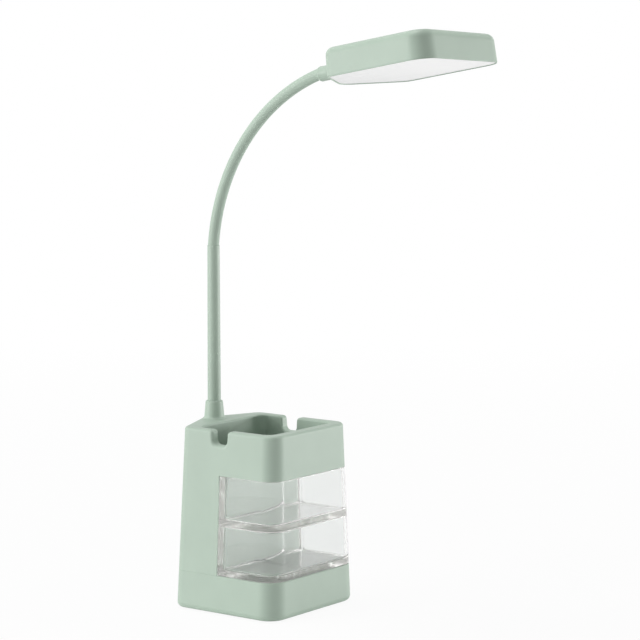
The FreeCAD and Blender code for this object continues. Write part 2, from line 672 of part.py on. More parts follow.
def battery_cradle():
    half = terminal_x() + TERMINAL_THICKNESS + CRADLE_WALL
    block = box(-half, half, CRADLE_FRONT_Y, CRADLE_BACK_Y, COVER_TOP_Z, COVER_TOP_Z + CRADLE_HEIGHT)
    room = terminal_x() + TERMINAL_THICKNESS
    start = Vector(-room, BATTERY_Y, BATTERY_Z)
    block = block.cut(Part.makeCylinder(BATTERY_RADIUS, 2 * room, start, Vector(1, 0, 0)))
    for side in (-1, 1):
        inner = terminal_x() if side > 0 else terminal_x() - BATTERY_CAP_HEIGHT
        x0, x1 = sorted((side * inner, side * room))
        block = block.cut(box(x0, x1, BATTERY_Y - TERMINAL_HALF_WIDTH, BATTERY_Y + TERMINAL_HALF_WIDTH,
                              COVER_TOP_Z + CRADLE_FLOOR, COVER_TOP_Z + CRADLE_HEIGHT + REACH))
    return block


def battery_terminal(side):
    # The plus terminal meets the cap, the minus terminal meets the can
    inner = terminal_x() if side > 0 else terminal_x() - BATTERY_CAP_HEIGHT
    x0, x1 = sorted((side * inner, side * (inner + TERMINAL_THICKNESS)))
    return box(x0, x1, BATTERY_Y - TERMINAL_HALF_WIDTH, BATTERY_Y + TERMINAL_HALF_WIDTH,
               COVER_TOP_Z + CRADLE_FLOOR, COVER_TOP_Z + CRADLE_FLOOR + TERMINAL_HEIGHT)


def control_board():
    board = box(-BOARD_HALF_WIDTH, BOARD_HALF_WIDTH, BOARD_FRONT_Y, BOARD_BACK_Y, BOARD_Z, BOARD_TOP_Z)
    for x, y in POST_SPOTS:
        board = board.cut(post(x, y, BOARD_Z - REACH, BOARD_TOP_Z + REACH, PIN_RADIUS + FIT))
    return board


def board_chips():
    depth = BOARD_BACK_Y - BOARD_FRONT_Y
    pieces = []
    for x_share, y_share, size_share in zip(CHIP_X_SHARES, CHIP_Y_SHARES, CHIP_SIZE_SHARES):
        x = BOARD_HALF_WIDTH * x_share
        y = BOARD_FRONT_Y + depth * y_share
        half = depth * size_share
        pieces.append(box(x - half, x + half, y - half, y + half, BOARD_TOP_Z, BOARD_TOP_Z + CHIP_HEIGHT))
    pieces.append(post(BOARD_HALF_WIDTH * COIL_X_SHARE, BOARD_FRONT_Y + depth * COIL_Y_SHARE,
                       BOARD_TOP_Z, BOARD_TOP_Z + COIL_HEIGHT, COIL_RADIUS))
    pieces.append(box(-PLUG_HALF_WIDTH, PLUG_HALF_WIDTH, BOARD_FRONT_Y, BOARD_FRONT_Y + PLUG_LENGTH,
                      BOARD_TOP_Z, BOARD_TOP_Z + PLUG_HEIGHT))
    return Part.makeCompound(pieces)


def charge_socket():
    rise = SOCKET_HEIGHT / 2

    def slab(shrink, y0, y1):
        half = SOCKET_HALF_WIDTH - shrink
        tall = rise - shrink
        corners = [
            (Vector(x, y0, SOCKET_Z + z), tall - FLAT)
            for x, z in ((-half, -tall), (half, -tall), (half, tall), (-half, tall))
        ]
        return Part.Face(rounded_wire(corners)).extrude(Vector(0, y1 - y0, 0))

    back = SOCKET_MOUTH_Y - SOCKET_LENGTH
    floor = back + SOCKET_LENGTH * SOCKET_BODY_SHARE
    shell = slab(0, back, SOCKET_MOUTH_Y).cut(slab(SOCKET_SKIN, floor, SOCKET_MOUTH_Y + REACH))
    tongue = box(-TONGUE_HALF_WIDTH, TONGUE_HALF_WIDTH, floor - SOCKET_SKIN, SOCKET_MOUTH_Y - SOCKET_SINK,
                 SOCKET_Z - TONGUE_HEIGHT / 2, SOCKET_Z + TONGUE_HEIGHT / 2)
    return shell.fuse(tongue).removeSplitter()


def charge_indicator():
    length = SOCKET_MOUTH_Y - SOCKET_SINK - BOARD_BACK_Y
    start = Vector(INDICATOR_X, BOARD_BACK_Y, SOCKET_Z)
    return Part.makeCylinder(INDICATOR_RADIUS, length, start, Vector(0, 1, 0))


def cover_screws():
    return Part.makeCompound([
        screw(x, y, COVER_SEAT_Z, SCREW_LENGTH, SCREW_RADIUS, SCREW_HEAD_RADIUS, SCREW_HEAD_HEIGHT)
        for x, y in COVER_SCREW_SPOTS
    ])


def column_screws():
    seat = DECK_Z - DECK_THICKNESS
    return Part.makeCompound([
        screw(x, y, seat, SCREW_LENGTH, SCREW_RADIUS, SCREW_HEAD_RADIUS, SCREW_HEAD_HEIGHT)
        for x, y in COLUMN_SCREW_SPOTS
    ])


def guide_plate():
    plate = housing_block(BAY_TOP_Z, PLATE_TOP_Z, WALL + FIT)
    plate = plate.cut(box(-WIDE, WIDE, COLUMN_FACE_Y - FIT, WIDE, -WIDE, WIDE))
    lip_top = BAY_TOP_Z + LUG_NECK_HEIGHT
    plate = plate.cut(lug_slot(LUG_NECK_HALF + GAP, BAY_TOP_Z - REACH, lip_top + FLAT, SLOT_FRONT_Y, WIDE))
    plate = plate.cut(lug_slot(LUG_HEAD_HALF + GAP, lip_top, PLATE_TOP_Z + REACH, SLOT_FRONT_Y, WIDE))
    for x, y in PLATE_SCREW_SPOTS:
        plate = plate.cut(post(x, y, BAY_TOP_Z - REACH, PLATE_TOP_Z + REACH, SCREW_RADIUS + FIT))
        plate = plate.cut(post(x, y, BAY_TOP_Z - REACH, PLATE_SEAT_Z, SCREW_HEAD_RADIUS + FIT))
    return plate


def plate_screws():
    return Part.makeCompound([
        screw(x, y, PLATE_SEAT_Z, SCREW_LENGTH, SCREW_RADIUS, SCREW_HEAD_RADIUS, SCREW_HEAD_HEIGHT)
        for x, y in PLATE_SCREW_SPOTS
    ])


def drawer_block(z0, z1, inset, corner):
    # The front of the housing block, cut off square ahead of the column
    block = housing_block(z0, z1, inset)
    back_y = LUG_BACK_Y - inset
    block = block.cut(box(-WIDE, WIDE, back_y, WIDE, -WIDE, WIDE))
    rear = [
        edge for edge in block.Edges
        if edge.BoundBox.YMin > back_y - FLAT and edge.BoundBox.ZLength > DRAWER_FLOOR
    ]
    return block.makeFillet(corner, rear)


def drawer_tub(z0, z1):
    body = drawer_block(z0, z1, 0, DRAWER_BACK_CORNER)
    body = body.makeFillet(DRAWER_EDGE, level_edges(body, z0) + level_edges(body, z1))
    floor_z = z0 + DRAWER_FLOOR
    room = drawer_block(floor_z, z1 + REACH, DRAWER_WALL, DRAWER_ROOM_CORNER)
    room = room.makeFillet(DRAWER_ROOM_ROUNDING, level_edges(room, floor_z))
    return body.cut(room)


def drawer_upper():
    top = BAY_TOP_Z - GAP
    tub = drawer_tub(DRAWER_SPLIT_Z + GAP / 2, top)
    head_z = BAY_TOP_Z + LUG_NECK_HEIGHT + GAP
    neck = box(-LUG_NECK_HALF, LUG_NECK_HALF, LUG_BACK_Y - DRAWER_WALL, LUG_BACK_Y - DRAWER_EDGE,
               top - DRAWER_EDGE, head_z)
    head = box(-LUG_HEAD_HALF, LUG_HEAD_HALF, LUG_FRONT_Y, LUG_BACK_Y, head_z, head_z + LUG_HEAD_HEIGHT)
    return tub.fuse(neck).fuse(head).removeSplitter()


def drawer_lower():
    bottom = DECK_Z + GAP
    tub = drawer_tub(bottom, DRAWER_SPLIT_Z - GAP / 2)
    head_z = LIP_BOTTOM_Z - GAP
    neck = box(-LUG_NECK_HALF, LUG_NECK_HALF, LUG_FRONT_Y, LUG_BACK_Y - DRAWER_EDGE,
               head_z, bottom + DRAWER_EDGE)
    head = box(-LUG_HEAD_HALF, LUG_HEAD_HALF, LUG_FRONT_Y, LUG_BACK_Y, head_z - LUG_HEAD_HEIGHT, head_z)
    return tub.fuse(neck).fuse(head).removeSplitter()


def neck_tube():
    foot = Vector(0, NECK_Y, SHOULDER_Z)
    outer = Part.makeCone(TUBE_BASE_RADIUS, TUBE_TOP_RADIUS, SEAM_Z - SHOULDER_Z, foot)
    outer = outer.makeChamfer(TUBE_TOP_CHAMFER, level_edges(outer, SEAM_Z))
    stem = post(0, NECK_Y, STEM_BOTTOM_Z, SHOULDER_Z, STEM_RADIUS)
    tube = outer.fuse(stem)
    guide_z = SEAM_Z - SPIGOT_GUIDE
    tube = tube.cut(post(0, NECK_Y, STEM_BOTTOM_Z - REACH, guide_z, TUBE_BORE))
    return tube.cut(post(0, NECK_Y, guide_z - REACH, SEAM_Z + REACH, SPIGOT_RADIUS + RUNNING))


def tube_nut():
    corner = NUT_FLATS / 2 / math.cos(math.pi / NUT_SIDES)
    top = BOSS_BOTTOM_Z - WASHER_THICKNESS
    points = [
        Vector(corner * math.cos(2 * math.pi * index / NUT_SIDES),
               NECK_Y + corner * math.sin(2 * math.pi * index / NUT_SIDES), top - NUT_HEIGHT)
        for index in range(NUT_SIDES)
    ]
    nut = Part.Face(Part.makePolygon(points + points[:1])).extrude(Vector(0, 0, NUT_HEIGHT))
    return nut.cut(post(0, NECK_Y, top - NUT_HEIGHT - REACH, top + REACH, STEM_RADIUS))


def tube_washer():
    top = BOSS_BOTTOM_Z
    ring = post(0, NECK_Y, top - WASHER_THICKNESS, top, WASHER_RADIUS)
    return ring.cut(post(0, NECK_Y, top - WASHER_THICKNESS - REACH, top + REACH, STEM_RADIUS + FIT))


def base_cable():
    plug_y = BOARD_FRONT_Y + PLUG_LENGTH
    low = BOARD_TOP_Z + PLUG_HEIGHT / 2
    nook = CABLE_BEND * math.sqrt(0.5)
    bend_y = NECK_Y - CABLE_BEND
    spine = Part.Wire([
        Part.makeLine(Vector(0, plug_y, low), Vector(0, bend_y, low)),
        Part.Arc(Vector(0, bend_y, low), Vector(0, bend_y + nook, low + CABLE_BEND - nook),
                 Vector(0, NECK_Y, low + CABLE_BEND)).toShape(),
        Part.makeLine(Vector(0, NECK_Y, low + CABLE_BEND), Vector(0, NECK_Y, SEAM_Z - SPIGOT_LENGTH - GAP)),
    ])
    ring = Part.Wire(Part.makeCircle(CABLE_RADIUS, Vector(0, plug_y, low), Vector(0, 1, 0)))
    return spine.makePipeShell([ring], True, True)


LINK_TURN = ARC_TURN / LINK_COUNT
ARC_CENTRE = Vector(
    0,
    NECK_Y - ARC_RADIUS * math.cos(math.radians(START_LEAN)),
    SEAM_Z - ARC_RADIUS * math.sin(math.radians(START_LEAN)),
)


def arc_point(lean):
    turn = math.radians(lean)
    return ARC_CENTRE + Vector(0, ARC_RADIUS * math.cos(turn), ARC_RADIUS * math.sin(turn))


def arc_heading(lean):
    turn = math.radians(lean)
    return Vector(0, -math.sin(turn), math.cos(turn))


def link_lean(index):
    return START_LEAN + LINK_TURN * index


def arc_pipe(radius, lean0, lean1):
    ring = Part.Wire(Part.makeCircle(radius, arc_point(lean0), arc_heading(lean0)))
    return Part.Face(ring).revolve(ARC_CENTRE, Vector(1, 0, 0), lean1 - lean0)


def link_layer(radius, index):
    # A bent rod that ends in a part of a ball and starts in a hollow a gap wider than that ball
    lean0 = link_lean(index)
    lean1 = link_lean(index + 1)
    if index == 0:
        lean0 = lean0 - SEAM_LEAD
    rod = arc_pipe(radius, lean0, lean1)
    end = arc_point(lean1)
    ball = Part.makeSphere(SLEEVE_RADIUS, end)
    if radius < SLEEVE_RADIUS:
        ball = ball.common(Part.makeCylinder(radius, SLEEVE_RADIUS + REACH, end, arc_heading(lean1)))
    rod = rod.fuse(ball).removeSplitter()
    if index == 0:
        return rod.cut(box(-WIDE, WIDE, 0, WIDE, 0, SEAM_Z + GAP))
    return rod.cut(Part.makeSphere(SLEEVE_RADIUS + GAP, arc_point(lean0)))


def link_bore(radius, index):
    lean0 = link_lean(index) - LINK_TURN / 2
    lean1 = link_lean(index + 1)
    rod = arc_pipe(radius, lean0, lean1)
    return rod.fuse(Part.makeCylinder(radius, SLEEVE_RADIUS + REACH, arc_point(lean1), arc_heading(lean1)))


def neck_sleeve(index):
    return link_layer(SLEEVE_RADIUS, index).cut(link_bore(SLEEVE_BORE, index))


def neck_core(index):
    core = link_layer(CORE_RADIUS, index)
    if index > 0:
        return core.cut(link_bore(CORE_BORE, index))
    core = core.fuse(post(0, NECK_Y, SEAM_Z - SPIGOT_LENGTH, SEAM_Z + GAP, SPIGOT_RADIUS))
    bore = arc_pipe(CORE_BORE, link_lean(index), link_lean(index + 1))
    bore = bore.fuse(Part.makeSphere(CORE_BORE, arc_point(link_lean(index))))
    bore = bore.fuse(post(0, NECK_Y, SEAM_Z - SPIGOT_LENGTH - REACH, SEAM_Z, CORE_BORE))
    end = arc_point(link_lean(index + 1))
    heading = arc_heading(link_lean(index + 1))
    bore = bore.fuse(Part.makeCylinder(CORE_BORE, SLEEVE_RADIUS + REACH, end, heading))
    return core.cut(bore).removeSplitter()


def neck_cable(index):
    cable = link_layer(NECK_CABLE_RADIUS, index)
    if index == 0:
        lean = link_lean(index)
        cable = cable.fuse(Part.makeSphere(NECK_CABLE_RADIUS, arc_point(lean)))
        cable = cable.fuse(arc_pipe(NECK_CABLE_RADIUS, lean, lean + LINK_TURN / 2))
        cable = cable.fuse(post(0, NECK_Y, SEAM_Z - SPIGOT_LENGTH, SEAM_Z, NECK_CABLE_RADIUS))
        cable = cable.removeSplitter()
    return cable


def swivel_nut():
    low = SEAM_Z - SPIGOT_LENGTH
    ring = post(0, NECK_Y, low, low + SWIVEL_NUT_HEIGHT, SWIVEL_NUT_RADIUS)
    return ring.cut(post(0, NECK_Y, low - REACH, low + SWIVEL_NUT_HEIGHT + REACH, SPIGOT_RADIUS))


HEAD_CEILING_Z = HEAD_THICKNESS - HEAD_CEILING
LED_BOARD_TOP_Z = LED_BOARD_Z + LED_BOARD_THICKNESS
LED_BOARD_HALF_WIDTH = HEAD_HALF_WIDTH - LED_BOARD_SIDE_INSET
LED_BOARD_FRONT_Y = LED_BOARD_FRONT_INSET - HEAD_LENGTH
HEAD_POST_X = LED_BOARD_HALF_WIDTH - HEAD_POST_INSET
HEAD_POST_SPOTS = mirrored([
    (HEAD_POST_X, LED_BOARD_FRONT_Y + HEAD_POST_INSET),
    (HEAD_POST_X, LED_BOARD_BACK_Y - HEAD_POST_INSET),
])
HEAD_CONNECTOR_BACK_Y = LED_BOARD_BACK_Y - HEAD_CONNECTOR_INSET
TOUCH_Y = HEAD_CONNECTOR_BACK_Y - HEAD_CONNECTOR_LENGTH / 2
CLAMP_FRONT_Y = -FERRULE_PLUG
CLAMP_BACK_Y = CLAMP_FRONT_Y + CLAMP_LENGTH


def on_neck(shape):
    lift = Placement(Vector(0, -FERRULE_REACH, -HEAD_AXIS_Z), Rotation())
    roll = Placement(Vector(), Rotation(Vector(0, 1, 0), HEAD_ROLL_ANGLE))
    pitch = Placement(Vector(), Rotation(Vector(1, 0, 0), HEAD_PITCH_ANGLE))
    seat = Placement(arc_point(link_lean(LINK_COUNT)), Rotation())
    return shape.transformed((seat * pitch * roll * lift).toMatrix(), True)


def head_outline(z, inset):
    shrink = inset + HEAD_TOP_INSET * z / HEAD_THICKNESS
    radii = (HEAD_NOSE_RADIUS, HEAD_FRONT_CORNER, HEAD_BACK_CORNER)
    return shield_wire(HEAD_HALF_WIDTH, -HEAD_LENGTH, 0, HEAD_BACK_ANGLE, radii, shrink, z)


def head_block(z0, z1, inset):
    return Part.makeLoft([head_outline(z0, inset), head_outline(z1, inset)], True, True)


def along_axis(radius, y0, y1):
    return Part.makeCylinder(radius, y1 - y0, Vector(0, y0, HEAD_AXIS_Z), Vector(0, 1, 0))


def head_shell():
    shell = head_block(0, HEAD_THICKNESS, 0)
    shell = shell.makeFillet(HEAD_TOP_ROUNDING, level_edges(shell, HEAD_THICKNESS))
    shell = shell.cut(head_block(-REACH, HEAD_CEILING_Z, HEAD_WALL))
    shell = shell.cut(head_block(-REACH, HEAD_REBATE_DEPTH, HEAD_REBATE_WALL))
    for x, y in HEAD_POST_SPOTS:
        shell = shell.fuse(post(x, y, LED_BOARD_TOP_Z, HEAD_CEILING_Z + FLAT, HEAD_POST_RADIUS))
    shell = shell.fuse(box(-CLAMP_HALF_WIDTH, CLAMP_HALF_WIDTH, CLAMP_FRONT_Y, CLAMP_BACK_Y,
                           HEAD_AXIS_Z + FIT, HEAD_CEILING_Z + FLAT))
    shell = shell.removeSplitter()
    shell = shell.cut(along_axis(FERRULE_PLUG_RADIUS + FIT, -FERRULE_PLUG - REACH, REACH))
    for x, y in HEAD_POST_SPOTS:
        pilot_top = LED_BOARD_TOP_Z + HEAD_SCREW_LENGTH
        shell = shell.cut(post(x, y, LED_BOARD_TOP_Z - FLAT, pilot_top, HEAD_SCREW_RADIUS))
    clamp_y = (CLAMP_FRONT_Y + CLAMP_BACK_Y) / 2
    for side in (-1, 1):
        x = side * CLAMP_SCREW_X
        shell = shell.cut(post(x, clamp_y, HEAD_AXIS_Z, HEAD_CEILING_Z, HEAD_SCREW_RADIUS))
    touch_z = HEAD_THICKNESS - TOUCH_THICKNESS
    shell = shell.cut(post(0, TOUCH_Y, touch_z, HEAD_THICKNESS + REACH, TOUCH_RADIUS + FIT))
    return shell.cut(post(0, TOUCH_Y, HEAD_CEILING_Z - REACH, HEAD_THICKNESS, CONTACT_RADIUS + FIT))


def diffuser():
    plate = head_block(-DIFFUSER_PROUD, HEAD_REBATE_DEPTH - FIT, HEAD_REBATE_WALL + FIT)
    return plate.makeFillet(DIFFUSER_EDGE, level_edges(plate, -DIFFUSER_PROUD))


def reflector():
    def ring_wire(inset, z):
        x = HEAD_HALF_WIDTH - REFLECTOR_SIDE_INSET - inset
        y0 = REFLECTOR_FRONT_INSET - HEAD_LENGTH + inset
        y1 = REFLECTOR_BACK_Y - inset
        radius = REFLECTOR_CORNER - inset
        return rounded_wire([
            (Vector(-x, y0, z), radius),
            (Vector(x, y0, z), radius),
            (Vector(x, y1, z), radius),
            (Vector(-x, y1, z), radius),
        ])

    top = LED_BOARD_Z - FIT
    frame = Part.Face(ring_wire(0, REFLECTOR_BOTTOM_Z)).extrude(Vector(0, 0, top - REFLECTOR_BOTTOM_Z))
    mouth = ring_wire(REFLECTOR_RIM, REFLECTOR_BOTTOM_Z)
    throat = ring_wire(REFLECTOR_RIM + REFLECTOR_SLOPE, top)
    frame = frame.cut(Part.makeLoft([mouth, throat], True, True))
    low = LED_BOARD_Z - HEAD_SCREW_HEAD_HEIGHT - GAP
    for x, y in HEAD_POST_SPOTS:
        frame = frame.cut(post(x, y, low, LED_BOARD_Z, HEAD_SCREW_HEAD_RADIUS + GAP))
    return frame


def led_board():
    board = box(-LED_BOARD_HALF_WIDTH, LED_BOARD_HALF_WIDTH, LED_BOARD_FRONT_Y, LED_BOARD_BACK_Y,
                LED_BOARD_Z, LED_BOARD_TOP_Z)
    for x, y in HEAD_POST_SPOTS:
        board = board.cut(post(x, y, LED_BOARD_Z - REACH, LED_BOARD_TOP_Z + REACH,
                               HEAD_SCREW_RADIUS + FIT))
    return board


def led_chips():
    x_last = LED_BOARD_HALF_WIDTH - LED_MARGIN - LED_HALF
    y_first = LED_BOARD_FRONT_Y + LED_MARGIN - LED_HALF
    y_last = LED_BOARD_BACK_Y - LED_MARGIN - LED_HALF
    low = LED_BOARD_Z - LED_HEIGHT
    side = 2 * LED_HALF
    chips = []
    for column in range(LED_COLUMNS):
        x = mix(-x_last - side, x_last, column / (LED_COLUMNS - 1))
        for row in range(LED_ROWS):
            y = mix(y_first, y_last, row / (LED_ROWS - 1))
            chips.append(box(x, x + side, y, y + side, low, LED_BOARD_Z))
    return Part.makeCompound(chips)


def led_board_screws():
    return Part.makeCompound([
        screw(x, y, LED_BOARD_Z, HEAD_SCREW_LENGTH, HEAD_SCREW_RADIUS,
              HEAD_SCREW_HEAD_RADIUS, HEAD_SCREW_HEAD_HEIGHT)
        for x, y in HEAD_POST_SPOTS
    ])


def cable_clamp():
    y = (CLAMP_FRONT_Y + CLAMP_BACK_Y) / 2
    block = box(-CLAMP_HALF_WIDTH, CLAMP_HALF_WIDTH, CLAMP_FRONT_Y, CLAMP_BACK_Y,
                CLAMP_BOTTOM_Z, HEAD_AXIS_Z - FIT)
    block = block.cut(along_axis(FERRULE_PLUG_RADIUS + RUNNING, -HEAD_LENGTH, HEAD_LENGTH))
    for side in (-1, 1):
        block = block.cut(post(side * CLAMP_SCREW_X, y, 0, HEAD_THICKNESS, HEAD_SCREW_RADIUS + FIT))
    return block


def clamp_screws():
    y = (CLAMP_FRONT_Y + CLAMP_BACK_Y) / 2
    return Part.makeCompound([
        screw(side * CLAMP_SCREW_X, y, CLAMP_BOTTOM_Z, CLAMP_SCREW_LENGTH, HEAD_SCREW_RADIUS,
              HEAD_SCREW_HEAD_RADIUS, HEAD_SCREW_HEAD_HEIGHT - FIT)
        for side in (-1, 1)
    ])


def head_ferrule():
    start = FERRULE_REACH - FERRULE_START
    mouth = math.sqrt((SLEEVE_RADIUS + GAP) ** 2 - FERRULE_START ** 2)
    bulge = FERRULE_RADIUS - mouth
    points = [
        Vector(0, start, HEAD_AXIS_Z),
        Vector(0, start, HEAD_AXIS_Z + mouth),
        Vector(0, start - FERRULE_SHOULDER * NOOK_SHARE, HEAD_AXIS_Z + FERRULE_RADIUS - bulge * NOOK_SHARE),
        Vector(0, start - FERRULE_SHOULDER, HEAD_AXIS_Z + FERRULE_RADIUS),
        Vector(0, FIT, HEAD_AXIS_Z + FERRULE_RADIUS),
        Vector(0, FIT, HEAD_AXIS_Z + FERRULE_PLUG_RADIUS),
        Vector(0, -FERRULE_PLUG, HEAD_AXIS_Z + FERRULE_PLUG_RADIUS),
        Vector(0, -FERRULE_PLUG, HEAD_AXIS_Z),
    ]
    profile = [
        Part.makeLine(points[0], points[1]),
        Part.Arc(points[1], points[2], points[3]).toShape(),
    ]
    for first, last in zip(points[3:], points[4:] + points[:1]):
        profile.append(Part.makeLine(first, last))
    ferrule = Part.Face(Part.Wire(profile)).revolve(points[0], Vector(0, 1, 0), 360)
    ferrule = ferrule.cut(Part.makeSphere(SLEEVE_RADIUS + GAP, Vector(0, FERRULE_REACH, HEAD_AXIS_Z)))
    return ferrule.cut(along_axis(CORE_BORE, -HEAD_LENGTH, HEAD_LENGTH))


def head_cable():
    start_y = FERRULE_REACH - SLEEVE_RADIUS - GAP
    rise_z = LED_BOARD_TOP_Z + HEAD_CONNECTOR_HEIGHT / 2
    curve = Part.BSplineCurve()
    curve.interpolate(
        Points=[Vector(0, -FERRULE_PLUG, HEAD_AXIS_Z), Vector(0, HEAD_CONNECTOR_BACK_Y, rise_z)],
        InitialTangent=Vector(0, -1, 0), FinalTangent=Vector(0, -1, 0))
    spine = Part.Wire([
        Part.makeLine(Vector(0, start_y, HEAD_AXIS_Z), Vector(0, -FERRULE_PLUG, HEAD_AXIS_Z)),
        curve.toShape(),
    ])
    ring = Part.Wire(Part.makeCircle(NECK_CABLE_RADIUS, Vector(0, start_y, HEAD_AXIS_Z), Vector(0, 1, 0)))
    return spine.makePipeShell([ring], True, True)


def head_connector():
    front = HEAD_CONNECTOR_BACK_Y - HEAD_CONNECTOR_LENGTH
    return box(-HEAD_CONNECTOR_HALF, HEAD_CONNECTOR_HALF, front, HEAD_CONNECTOR_BACK_Y,
               LED_BOARD_TOP_Z, LED_BOARD_TOP_Z + HEAD_CONNECTOR_HEIGHT)


def touch_pad():
    return post(0, TOUCH_Y, HEAD_THICKNESS - TOUCH_THICKNESS, HEAD_THICKNESS, TOUCH_RADIUS)


def touch_contact():
    low = LED_BOARD_TOP_Z + HEAD_CONNECTOR_HEIGHT
    return post(0, TOUCH_Y, low, HEAD_THICKNESS - TOUCH_THICKNESS, CONTACT_RADIUS)


def all_nodes():
    nodes = {
        "upper_housing": upper_housing(),
        "lower_housing": lower_housing(),
        "bottom_cover": bottom_cover(),
        "anti_slip_pad": anti_slip_pad(),
        "ballast_plate": ballast_plate(),
        "battery_cell": battery_cell(),
        "battery_cradle": battery_cradle(),
        "battery_plus_terminal": battery_terminal(1),
        "battery_minus_terminal": battery_terminal(-1),
        "control_board": control_board(),
        "board_chips": board_chips(),
        "charge_socket": charge_socket(),
        "charge_indicator": charge_indicator(),
        "cover_screws": cover_screws(),
        "column_screws": column_screws(),
        "guide_plate": guide_plate(),
        "plate_screws": plate_screws(),
        "drawer_upper": drawer_upper(),
        "drawer_lower": drawer_lower(),
        "neck_collar": neck_collar(),
        "neck_tube": neck_tube(),
        "tube_nut": tube_nut(),
        "tube_washer": tube_washer(),
        "base_cable": base_cable(),
        "swivel_nut": swivel_nut(),
    }
    for index in range(LINK_COUNT):
        number = index + 1
        nodes["neck_sleeve_" + str(number)] = neck_sleeve(index)
        nodes["neck_core_" + str(number)] = neck_core(index)
        nodes["neck_cable_" + str(number)] = neck_cable(index)
    head = {
        "head_ferrule": head_ferrule(),
        "head_shell": head_shell(),
        "diffuser": diffuser(),
        "reflector": reflector(),
        "led_board": led_board(),
        "led_chips": led_chips(),
        "led_board_screws": led_board_screws(),
        "cable_clamp": cable_clamp(),
        "clamp_screws": clamp_screws(),
        "head_cable": head_cable(),
        "head_connector": head_connector(),
        "touch_pad": touch_pad(),
        "touch_contact": touch_contact(),
    }
    for name, shape in head.items():
        nodes[name] = on_neck(shape)
    return nodes


os.makedirs("parts", exist_ok=True)
for name, shape in all_nodes().items():
    shape.exportStep("parts/" + name + ".step")
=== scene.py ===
import json
import math

import bmesh
import bpy
from mathutils import Matrix, Vector


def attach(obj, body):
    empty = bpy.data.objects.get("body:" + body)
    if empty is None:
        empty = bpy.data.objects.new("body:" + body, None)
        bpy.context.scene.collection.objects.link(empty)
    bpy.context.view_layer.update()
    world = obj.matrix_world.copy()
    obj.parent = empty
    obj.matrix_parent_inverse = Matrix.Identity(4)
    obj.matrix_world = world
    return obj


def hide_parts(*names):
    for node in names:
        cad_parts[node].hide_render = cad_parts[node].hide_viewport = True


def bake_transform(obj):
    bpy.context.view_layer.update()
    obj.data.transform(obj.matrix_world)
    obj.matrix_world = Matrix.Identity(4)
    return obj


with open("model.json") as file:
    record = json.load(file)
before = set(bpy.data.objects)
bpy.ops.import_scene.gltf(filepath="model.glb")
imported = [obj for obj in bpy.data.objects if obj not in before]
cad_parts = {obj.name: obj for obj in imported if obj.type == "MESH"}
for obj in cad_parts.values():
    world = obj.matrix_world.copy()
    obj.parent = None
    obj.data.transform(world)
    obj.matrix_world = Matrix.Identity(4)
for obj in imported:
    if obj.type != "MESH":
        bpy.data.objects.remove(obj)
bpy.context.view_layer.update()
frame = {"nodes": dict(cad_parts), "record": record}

NODES = frame["nodes"]
MM = 0.001
WHITE = (1.0, 1.0, 1.0)


def put(name, data):
    # A new object in the scene
    obj = bpy.data.objects.new(name, data)
    bpy.context.scene.collection.objects.link(obj)
    return obj


def aim(obj, spot, direction):
    # Stand a camera or a lamp at the spot, looking along the direction
    obj.location = spot
    obj.rotation_mode = "QUATERNION"
    obj.rotation_quaternion = direction.to_track_quat("-Z", "Y")


# Camera, from a fit to the photograph's edges
PHOTO_SIDE = 640
FOCAL_PIXELS = 2562.978
SENSOR_WIDTH = 36.0
CAMERA_SPOT = Vector((-1441.338, -1134.7, 424.506)) * MM
CAMERA_TURN = math.radians(-53.2269)
CAMERA_TILT = math.radians(6.76037)
CLIP_START = 0.05
CLIP_END = 50.0


def make_camera():
    camera = put("camera", bpy.data.cameras.new("camera"))
    forward = Vector((
        -math.sin(CAMERA_TURN) * math.cos(CAMERA_TILT),
        math.cos(CAMERA_TURN) * math.cos(CAMERA_TILT),
        -math.sin(CAMERA_TILT),
    ))
    aim(camera, CAMERA_SPOT, forward)
    camera.data.sensor_width = SENSOR_WIDTH
    camera.data.lens = SENSOR_WIDTH * FOCAL_PIXELS / PHOTO_SIDE
    camera.data.clip_start = CLIP_START
    camera.data.clip_end = CLIP_END
    bpy.context.scene.camera = camera


# Sockets of a Mix node that mixes colours
MIX_FACTOR = 0
MIX_FIRST = 6
MIX_SECOND = 7
MIX_RESULT = 2


